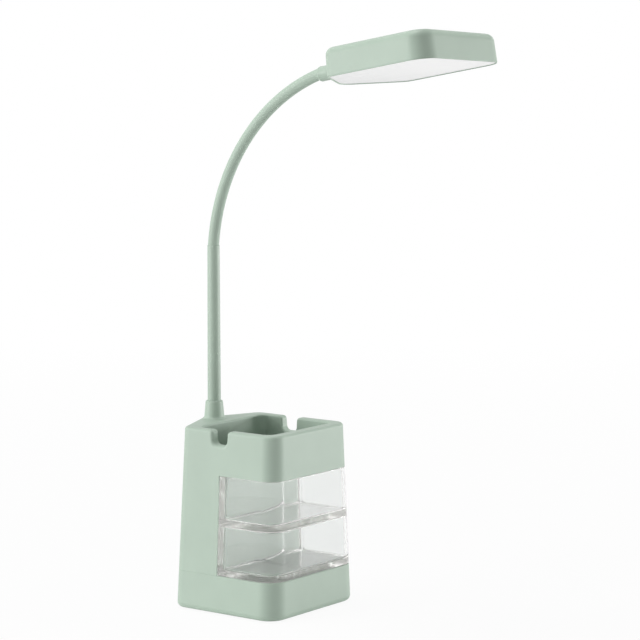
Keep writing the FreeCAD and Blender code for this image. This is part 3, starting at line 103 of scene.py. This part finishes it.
class Shader:
    # Short calls over the shader nodes of a material or of the world
    def __init__(self, owner, output="ShaderNodeOutputMaterial"):
        owner.use_nodes = True
        self.owner = owner
        self.tree = owner.node_tree
        self.tree.nodes.clear()
        self.output = self.add(output)

    def add(self, kind, **values):
        node = self.tree.nodes.new(kind)
        for key, value in values.items():
            setattr(node, key, value)
        return node

    def link(self, source, target):
        self.tree.links.new(source, target)

    def fill(self, socket, value):
        # Link another socket to this one, or set a colour or a number on it
        if isinstance(value, bpy.types.NodeSocket):
            self.link(value, socket)
        elif isinstance(value, tuple):
            socket.default_value = (*value, 1.0)
        else:
            socket.default_value = value

    def maths(self, operation, *values):
        node = self.add("ShaderNodeMath", operation=operation)
        for socket, value in zip(node.inputs, values):
            self.fill(socket, value)
        return node.outputs[0]

    def place(self):
        return self.add("ShaderNodeTexCoord").outputs["Object"]

    def axis(self, name):
        # The place along one axis of the object, in metres
        split = self.add("ShaderNodeSeparateXYZ")
        self.link(self.place(), split.inputs[0])
        return split.outputs[name]

    def noise(self, scale, detail=2.0, roughness=0.5, stretch=None):
        texture = self.add("ShaderNodeTexNoise")
        texture.inputs["Scale"].default_value = scale
        texture.inputs["Detail"].default_value = detail
        texture.inputs["Roughness"].default_value = roughness
        place = self.place()
        if stretch:
            mapping = self.add("ShaderNodeMapping")
            mapping.inputs["Scale"].default_value = stretch
            self.link(place, mapping.inputs["Vector"])
            place = mapping.outputs["Vector"]
        self.link(place, texture.inputs["Vector"])
        return texture.outputs["Fac"]

    def ramp(self, factor, stops, colours):
        ramp = self.add("ShaderNodeValToRGB")
        elements = ramp.color_ramp.elements
        for position in stops[1:-1]:
            elements.new(position)
        for element, position, colour in zip(elements, stops, colours):
            element.position = position
            element.color = (*colour, 1.0)
        self.link(factor, ramp.inputs["Fac"])
        return ramp.outputs["Color"]

    def spread(self, factor, low, high, start=0.0, end=1.0):
        # The factor's way from start to end, turned into a way from low to high
        spread = self.add("ShaderNodeMapRange")
        spread.inputs["From Min"].default_value = start
        spread.inputs["From Max"].default_value = end
        spread.inputs["To Min"].default_value = low
        spread.inputs["To Max"].default_value = high
        self.link(factor, spread.inputs["Value"])
        return spread.outputs["Result"]

    def times(self, first, second):
        # One colour multiplied by another
        mix = self.add("ShaderNodeMix", data_type="RGBA", blend_type="MULTIPLY")
        mix.inputs[MIX_FACTOR].default_value = 1.0
        self.link(first, mix.inputs[MIX_FIRST])
        self.link(second, mix.inputs[MIX_SECOND])
        return mix.outputs[MIX_RESULT]

    def bump(self, height, strength, distance, under=None):
        bump = self.add("ShaderNodeBump")
        bump.inputs["Strength"].default_value = strength
        bump.inputs["Distance"].default_value = distance
        self.link(height, bump.inputs["Height"])
        if under is not None:
            self.link(under, bump.inputs["Normal"])
        return bump.outputs["Normal"]

    def shade(self, kind, **values):
        # A shader of one kind, with its sockets filled by name
        node = self.add(kind)
        for key, value in values.items():
            self.fill(node.inputs[key.replace("_", " ")], value)
        return node.outputs[0]

    def choose(self, factor, first, second):
        mix = self.add("ShaderNodeMixShader")
        for socket, source in zip(mix.inputs, (factor, first, second)):
            self.link(source, socket)
        return mix.outputs[0]

    def seen_by_lens(self):
        # One for camera rays and for the glossy and clear rays that carry the view on
        path = self.add("ShaderNodeLightPath").outputs
        mirrored = self.maths("MAXIMUM", path["Is Camera Ray"], path["Is Glossy Ray"])
        return self.maths("MAXIMUM", mirrored, path["Is Transmission Ray"])

    def finish(self, surface):
        self.link(surface, self.output.inputs["Surface"])
        return self.owner


# Noises: scale, detail, roughness and stretch along X, Y and Z
CLOUDS = (38.0, 3.0)
GLOSS_PATCHES = (260.0,)
BRUSH_LINES = (900.0, 3.0, 0.6, (1.0, 1.0, 12.0))
FLOW_MARKS = (45.0, 2.0, 0.5, (1.0, 1.0, 0.35))
POLISH_MARKS = (300.0,)
RIPPLES = (620.0, 3.0, 0.7)
# Painted sparkle for views caught inside clear plastic
PAINTED_SPARKLE_NOISE = (520.0, 3.0, 0.7, (1.0, 1.0, 0.25))
OPAL_RIBS = (170.0, 2.0, 0.5, (1.0, 0.03, 1.0))
PAPER_CLOUDS = (3.0,)

# Places of the colours along a noise's range
CLOUD_STOPS = (0.3, 0.7)
FLOW_STOPS = (0.35, 0.65)
RIB_STOPS = (0.38, 0.62)
PAINTED_SPARKLE_STOPS = (0.42, 0.52, 0.62)

# Bumps: strength, and height in metres
BRUSH_BUMP = (0.2, 0.00001)
FLOW_BUMP = (0.12, 0.00004)
RIPPLE_BUMP = (0.35, 0.0003)
RIB_BUMP = (0.25, 0.00003)


def scaled(colour, factor):
    return tuple(min(1.0, part * factor) for part in colour)


CLOUD_DARK = 0.975
CLOUD_LIGHT = 1.025
GLOSS_SHIFT = 0.04
GRAIN_STRENGTH = 0.35


def moulded(name, colour, roughness, grain=2600.0, depth=0.000012, spec=0.5):
    # Satin moulded plastic: faint clouding, uneven gloss and a fine grain
    shader = Shader(bpy.data.materials.new(name))
    tones = (scaled(colour, CLOUD_DARK), scaled(colour, CLOUD_LIGHT))
    base = shader.ramp(shader.noise(*CLOUDS), CLOUD_STOPS, tones)
    patches = shader.noise(*GLOSS_PATCHES)
    gloss = shader.spread(patches, roughness - GLOSS_SHIFT, roughness + GLOSS_SHIFT)
    normal = shader.bump(shader.noise(grain), GRAIN_STRENGTH, depth)
    return shader.finish(shader.shade(
        "ShaderNodeBsdfPrincipled",
        Base_Color=base,
        Roughness=gloss,
        Normal=normal,
        Specular_IOR_Level=spec,
    ))


BRUSH_DARK = 0.86
BRUSH_SMOOTHER = 0.08
BRUSH_ROUGHER = 0.1


def brushed(name, colour, roughness=0.28):
    # Metal with fine level lines
    shader = Shader(bpy.data.materials.new(name))
    lines = shader.noise(*BRUSH_LINES)
    return shader.finish(shader.shade(
        "ShaderNodeBsdfPrincipled",
        Base_Color=shader.ramp(lines, CLOUD_STOPS, (scaled(colour, BRUSH_DARK), colour)),
        Roughness=shader.spread(lines, roughness - BRUSH_SMOOTHER, roughness + BRUSH_ROUGHER),
        Normal=shader.bump(lines, *BRUSH_BUMP),
        Metallic=1.0,
    ))


# Drawer floors by their heights, and the rear walls by their depth, in millimetres
UPPER_FLOOR = (64.7, 67.7)
LOWER_FLOOR = (28.8, 31.8)
REAR_WALL = (-4.6, -2.5)

# Clear plastic. HAZE_FREE is the share of it that lets the view through, and a view is caught
# between its faces after more than TRAPPED_AFTER glossy bounces
CLEAR_TINT = (0.975, 0.985, 0.98)
CLEAR_ROUGHNESS = (0.0, 0.012)
CLEAR_IOR = 1.5
CLEAR_SHADOW = (0.94, 0.94, 0.94)
HAZE_FREE = 0.95
FLOW_DARK = 0.992
# Painted shade on clear plastic seen at grazing angles, standing in for dark reflections inside its
# walls
PAINTED_EDGE_STOPS = (0.68, 0.97)
PAINTED_EDGE_SHADE = (0.3, 0.29, 0.295)
TRAPPED_AFTER = 1.5
# Painted sparkle tones, up to white glints, for a view caught between the clear faces
PAINTED_SPARKLE_TONES = ((0.38, 0.348, 0.342), (0.55, 0.52, 0.514), WHITE)


def within(shader, value, low, high):
    # One where the value lies between low and high, in millimetres
    return shader.maths("COMPARE", value, (low + high) / 2 * MM, (high - low) / 2 * MM)


def edge_mask(shader, floor):
    # One on the sides of the drawer's floor and on the ends of its rear wall
    on_floor = within(shader, shader.axis("Z"), *floor)
    on_wall = within(shader, shader.axis("Y"), *REAR_WALL)
    return shader.maths("MAXIMUM", on_floor, on_wall)


def clear(name, colour, floor=None):
    # Polished clear plastic, with painted shade where it is seen at grazing angles, standing in for
    # the dark surroundings reflected inside its walls, with very faint flow marks and with a fine
    # ripple on a drawer's edges. Light from the lamps passes straight through it, and a view that is
    # caught between its faces ends on a lamp-lit diffuse and translucent surface with painted
    # sparkle, standing in for light piped through the plastic
    shader = Shader(bpy.data.materials.new(name))
    flow = shader.noise(*FLOW_MARKS)
    tint = shader.ramp(flow, FLOW_STOPS, (scaled(colour, FLOW_DARK), colour))
    facing = shader.add("ShaderNodeLayerWeight").outputs["Facing"]
    # Painted shade towards grazing angles, standing in for the dark surroundings reflected inside the
    # walls
    painted_edge_shade = shader.ramp(facing, PAINTED_EDGE_STOPS, (WHITE, PAINTED_EDGE_SHADE))
    normal = shader.bump(flow, *FLOW_BUMP)
    if floor:
        ripple = shader.maths("MULTIPLY", shader.noise(*RIPPLES), edge_mask(shader, floor))
        normal = shader.bump(ripple, *RIPPLE_BUMP, under=normal)
    solid = shader.shade(
        "ShaderNodeBsdfPrincipled",
        Base_Color=shader.times(tint, painted_edge_shade),
        Roughness=shader.spread(shader.noise(*POLISH_MARKS), *CLEAR_ROUGHNESS),
        Normal=normal,
        IOR=CLEAR_IOR,
        Transmission_Weight=HAZE_FREE,
    )
    # Painted sparkle: the caught view ends on a surface lit by the lamps, with noisy tones standing
    # in for glints of light piped through the plastic
    painted_sparkle = shader.ramp(shader.noise(*PAINTED_SPARKLE_NOISE), PAINTED_SPARKLE_STOPS, PAINTED_SPARKLE_TONES)
    glow = shader.add("ShaderNodeAddShader")
    for socket, kind in zip(glow.inputs, ("ShaderNodeBsdfDiffuse", "ShaderNodeBsdfTranslucent")):
        shader.link(shader.shade(kind, Color=painted_sparkle), socket)
    through = shader.shade("ShaderNodeBsdfTransparent", Color=CLEAR_SHADOW)
    path = shader.add("ShaderNodeLightPath").outputs
    trapped = shader.maths("GREATER_THAN", path["Glossy Depth"], TRAPPED_AFTER)
    lit = shader.maths("MAXIMUM", path["Is Shadow Ray"], path["Is Diffuse Ray"])
    caught = shader.choose(trapped, solid, glow.outputs[0])
    return shader.finish(shader.choose(lit, caught, through))


# Opal sheet, darkened by painted shade: dimmest at the first Y of its span and full from the second
# one on, in metres
OPAL_ROUGHNESS = (0.3, 0.4)
# A faint painted glow that brightens the downward-facing sheet
OPAL_PAINTED_GLOW = 0.15
OPAL_SHADE_SPAN = (-0.066, -0.15)
# Colour of the painted shade at the sheet's dim end
OPAL_PAINTED_SHADE = (0.78, 0.785, 0.79)
RIB_DARK = 0.94


def opal(name, colour):
    # Milky sheet with fine ribs along the head, with painted shade that makes it a little dimmer
    # towards the neck
    shader = Shader(bpy.data.materials.new(name))
    ribs = shader.noise(*OPAL_RIBS)
    base = shader.ramp(ribs, RIB_STOPS, (scaled(colour, RIB_DARK), colour))
    # Painted shade: the sheet darkens towards the neck
    reach = shader.spread(shader.axis("Y"), 0.0, 1.0, *OPAL_SHADE_SPAN)
    fade = shader.ramp(reach, (0.0, 1.0), (OPAL_PAINTED_SHADE, WHITE))
    material = shader.finish(shader.shade(
        "ShaderNodeBsdfPrincipled",
        Base_Color=shader.times(base, fade),
        Roughness=shader.spread(ribs, *OPAL_ROUGHNESS),
        Normal=shader.bump(ribs, *RIB_BUMP),
        # Faint painted glow that lifts the sheet's brightness
        Emission_Color=WHITE,
        Emission_Strength=OPAL_PAINTED_GLOW,
    ))
    material.cycles.emission_sampling = "NONE"
    return material


SAGE = (0.415, 0.512, 0.43)

# After each colour: roughness, scale of the grain, its height in metres and specular level
MATERIALS = {
    "sage_plastic": moulded("sage_plastic_satin", SAGE, 0.47, 2600.0, 0.000005, 0.4),
    "sage_metal": moulded("sage_metal_paint", SAGE, 0.42, 5200.0, 0.000001, 0.35),
    "sage_rubber": moulded("sage_rubber_sleeve", SAGE, 0.5, 300.0, 0.000004, 0.35),
    "diffuser_white": opal("diffuser_opal", (0.88, 0.88, 0.88)),
    "white_plastic": moulded("white_plastic_satin", (0.8, 0.8, 0.79), 0.4),
    "black_plastic": moulded("black_plastic_satin", (0.03, 0.03, 0.032), 0.45),
    "grey_rubber": moulded("grey_rubber_matt", (0.07, 0.072, 0.074), 0.75, 1500.0, 0.00003),
    "steel": brushed("steel_plain", (0.56, 0.56, 0.57)),
    "nickel": brushed("nickel_plated", (0.68, 0.67, 0.64), 0.18),
    "cell_wrap": moulded("cell_wrap_film", (0.04, 0.16, 0.4), 0.25, 900.0, 0.00001),
    "board_green": moulded("board_green_mask", (0.02, 0.14, 0.06), 0.3, 1400.0, 0.00001),
    "led_board_white": moulded("led_board_mask", (0.82, 0.82, 0.81), 0.35, 1400.0, 0.00001),
    "led_yellow": moulded("led_phosphor", (0.85, 0.68, 0.16), 0.3, 1800.0, 0.00001),
    "light_pipe": clear("light_pipe_clear", (0.95, 0.96, 0.95)),
    "cable_black": moulded("cable_jacket", (0.025, 0.025, 0.026), 0.5, 2200.0, 0.00001),
}

# The drawers share a slot, but the ripple lies at the height of each one's own floor
OWN_MATERIALS = {
    "drawer_upper": clear("drawer_upper_plastic", CLEAR_TINT, UPPER_FLOOR),
    "drawer_lower": clear("drawer_lower_plastic", CLEAR_TINT, LOWER_FLOOR),
}


def dress_nodes():
    slots = {part["node"]: part["material_slot"] for part in frame["record"]["subparts"]}
    for name, obj in NODES.items():
        material = OWN_MATERIALS.get(name) or MATERIALS[slots[name]]
        obj.data.materials.clear()
        obj.data.materials.append(material)


SHARP_ANGLE = math.radians(40)


def loops_mesh(name, loops):
    # A closed band through loops of equally many points, the last joined to the first
    count = len(loops[0])
    faces = []
    for row in range(len(loops)):
        near = row * count
        far = (row + 1) % len(loops) * count
        for side in range(count):
            beside = (side + 1) % count
            faces.append((near + side, near + beside, far + beside, far + side))
    mesh = bpy.data.meshes.new(name)
    mesh.from_pydata([point for loop in loops for point in loop], [], faces)
    shaped = bmesh.new()
    shaped.from_mesh(mesh)
    bmesh.ops.recalc_face_normals(shaped, faces=shaped.faces)
    shaped.to_mesh(mesh)
    shaped.free()
    mesh.polygons.foreach_set("use_smooth", [True] * len(mesh.polygons))
    mesh.set_sharp_from_angle(angle=SHARP_ANGLE)
    return mesh


# Flexible neck sleeve: one smooth tube, in pieces. Lengths are in millimetres and turns in
# degrees, here and at the lip
NECK_Y = 39.2
SEAM_Z = 259.3
ARC_RADIUS = 146.0
START_LEAN = 4.9
ARC_TURN = 65.0
FERRULE_TURN = 0.9
LINK_COUNT = 6
LINK_TURN = ARC_TURN / LINK_COUNT
SLEEVE_RADIUS = 4.08
SLEEVE_INSIDE = 3.3
SLEEVE_SIDES = 40
RING_TURN = 1.2
ARC_CENTRE = Vector((
    0.0,
    NECK_Y - ARC_RADIUS * math.cos(math.radians(START_LEAN)),
    SEAM_Z - ARC_RADIUS * math.sin(math.radians(START_LEAN)),
))


def arc_point(lean):
    turn = math.radians(lean)
    return (ARC_CENTRE + Vector((0.0, ARC_RADIUS * math.cos(turn), ARC_RADIUS * math.sin(turn)))) * MM


def tube_ring(lean, radius):
    # A ring square to the neck's line
    turn = math.radians(lean)
    outward = Vector((0.0, math.cos(turn), math.sin(turn)))
    ring = []
    for side in range(SLEEVE_SIDES):
        angle = 2 * math.pi * side / SLEEVE_SIDES
        across = Vector((math.cos(angle), 0, 0)) + outward * math.sin(angle)
        ring.append(arc_point(lean) + across * radius * MM)
    return ring


def sleeve_mesh(name, lean0, lean1):
    # A tube with a wall between two leans: up along its outside, then back along its inside
    steps = max(2, round((lean1 - lean0) / RING_TURN))
    leans = [lean0 + (lean1 - lean0) * step / steps for step in range(steps + 1)]
    loops = [tube_ring(lean, SLEEVE_RADIUS) for lean in leans]
    loops += [tube_ring(lean, SLEEVE_INSIDE) for lean in reversed(leans)]
    return loops_mesh(name, loops)


def link_body(index):
    return f"neck_link_{index}" if index <= LINK_COUNT else "head"


def make_sleeve():
    # Cut at the middle of each link, and run on a little way into the ferrule
    cuts = [START_LEAN] + [START_LEAN + LINK_TURN * (index + 0.5) for index in range(LINK_COUNT)]
    cuts.append(START_LEAN + ARC_TURN + FERRULE_TURN)
    for index in range(LINK_COUNT + 1):
        mesh = sleeve_mesh(f"neck_skin_{index}", cuts[index], cuts[index + 1])
        piece = put(f"neck_skin_{index}", mesh)
        mesh.materials.append(MATERIALS["sage_rubber"])
        if index == 0:
            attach(piece, link_body(1))
            continue
        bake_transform(piece)
        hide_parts(f"neck_sleeve_{index}")


# Lip round the underside of the lamp head, below the shell and the diffuser
HEAD_JOINT = (0.0, -56.092, 383.937)
HEAD_HALF_WIDTH = 47.7
HEAD_LENGTH = 104.3
HEAD_BACK_ANGLE = 26.9
HEAD_RADII = (20.0, 14.0, 8.5)
HEAD_REACH = 20.0
HEAD_AXIS_Z = 9.5
HEAD_PITCH = -10.0
HEAD_ROLL = 3.0
HEAD_PLACE = (
    Matrix.Translation(Vector(HEAD_JOINT) * MM)
    @ Matrix.Rotation(math.radians(HEAD_PITCH), 4, "X")
    @ Matrix.Rotation(math.radians(HEAD_ROLL), 4, "Y")
    @ Matrix.Translation(Vector((0.0, -HEAD_REACH, -HEAD_AXIS_Z)) * MM)
)
CORNER_STEPS = 10
LIP_OUTSIDE = 0.2
LIP_INSIDE = 0.88
LIP_DROP = 0.9
LIP_EDGE = 0.2

# The lip's profile: inset from the head's outline, and height over its underside
LIP_PROFILE = (
    (LIP_OUTSIDE, 0.0),
    (LIP_OUTSIDE, LIP_EDGE - LIP_DROP),
    (LIP_OUTSIDE + LIP_EDGE, -LIP_DROP),
    (LIP_INSIDE - LIP_EDGE, -LIP_DROP),
    (LIP_INSIDE, LIP_EDGE - LIP_DROP),
    (LIP_INSIDE, 0.0),
)


def corner_arc(middle, radius, start, end):
    points = []
    for step in range(CORNER_STEPS + 1):
        angle = start + (end - start) * step / CORNER_STEPS
        points.append((middle[0] + radius * math.cos(angle), middle[1] + radius * math.sin(angle)))
    return points


def head_outline(inset):
    # The head seen from above: its right half from the front to the nose at the neck, then
    # the mirror image
    nose_r, front_r, back_r = [radius - inset for radius in HEAD_RADII]
    lean = math.radians(HEAD_BACK_ANGLE)
    facing = (math.sin(lean), math.cos(lean))
    facet = -HEAD_RADII[0] * facing[1] + HEAD_RADII[0] - inset
    side = HEAD_HALF_WIDTH - inset
    nose = (0.0, (facet - nose_r) / facing[1])
    rear_x = side - back_r
    rear = (rear_x, (facet - back_r - rear_x * facing[0]) / facing[1])
    front = (side - front_r, inset - HEAD_LENGTH + front_r)
    turned = math.pi / 2 - lean
    right = corner_arc(front, front_r, -math.pi / 2, 0.0)
    right += corner_arc(rear, back_r, 0.0, turned)
    right += corner_arc(nose, nose_r, turned, math.pi / 2)
    left = [(-x, y) for x, y in reversed(right[:-1])]
    return right + left


def make_lip():
    loops = []
    for inset, z in LIP_PROFILE:
        loops.append([HEAD_PLACE @ (Vector((x, y, z)) * MM) for x, y in head_outline(inset)])
    mesh = loops_mesh("head_lip", loops)
    lip = put("head_lip", mesh)
    mesh.materials.append(MATERIALS["sage_plastic"])
    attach(lip, "head")


# World and floor. The share of the floor that the lens sees as plain white is FLOOR_GLOW near
# the middle, and grows to the whole over the distances of FLOOR_FADE, in metres
ROOM_LEVEL = 0.315
FLOOR_HALF = 6.0
FLOOR_GLOW = 0.93
FLOOR_FADE = (0.25, 1.5)
PAPER_TONES = ((0.9, 0.9, 0.9), (0.92, 0.92, 0.92))


def make_world():
    world = bpy.data.worlds.new("studio")
    bpy.context.scene.world = world
    shader = Shader(world, "ShaderNodeOutputWorld")
    room = shader.shade("ShaderNodeBackground", Color=WHITE, Strength=ROOM_LEVEL)
    paper = shader.shade("ShaderNodeBackground", Color=WHITE, Strength=1.0)
    shader.finish(shader.choose(shader.seen_by_lens(), room, paper))


def make_floor():
    corners = [(x * FLOOR_HALF, y * FLOOR_HALF, 0) for x, y in ((-1, -1), (1, -1), (1, 1), (-1, 1))]
    mesh = bpy.data.meshes.new("floor")
    mesh.from_pydata(corners, [], [(0, 1, 2, 3)])
    floor = put("floor", mesh)
    shader = Shader(bpy.data.materials.new("floor_paper"))
    tone = shader.ramp(shader.noise(*PAPER_CLOUDS), CLOUD_STOPS, PAPER_TONES)
    paper = shader.shade("ShaderNodeBsdfDiffuse", Color=tone)
    glow = shader.shade("ShaderNodeEmission", Color=WHITE, Strength=1.0)
    reach = shader.add("ShaderNodeVectorMath", operation="LENGTH")
    shader.link(shader.place(), reach.inputs[0])
    fade = shader.spread(reach.outputs["Value"], FLOOR_GLOW, 1.0, *FLOOR_FADE)
    share = shader.maths("MULTIPLY", shader.seen_by_lens(), fade)
    material = shader.finish(shader.choose(share, paper, glow))
    material.cycles.emission_sampling = "NONE"
    mesh.materials.append(material)


# Area lamps: name, place, size in metres and power in watts
LAMPS = (
    ("lamp_left", (-2.7, 2.05, 0.6), (2.5, 1.5), 88.0),
    ("lamp_right", (2.6, -2.3, 0.26), (2.0, 0.5), 71.0),
    ("lamp_top", (-0.1, 0.2, 1.9), (0.7, 0.7), 14.0),
)
LAMP_TARGET = Vector((0, 0, 0.2))


def make_lamp(name, spot, size, power):
    data = bpy.data.lights.new(name, "AREA")
    data.shape = "RECTANGLE"
    data.size, data.size_y = size
    data.energy = power
    lamp = put(name, data)
    lamp.visible_transmission = False
    aim(lamp, spot, LAMP_TARGET - Vector(spot))


make_camera()
dress_nodes()
make_sleeve()
make_lip()
make_floor()
make_world()
for lamp in LAMPS:
    make_lamp(*lamp)

bpy.context.scene.view_settings.view_transform = "Standard"
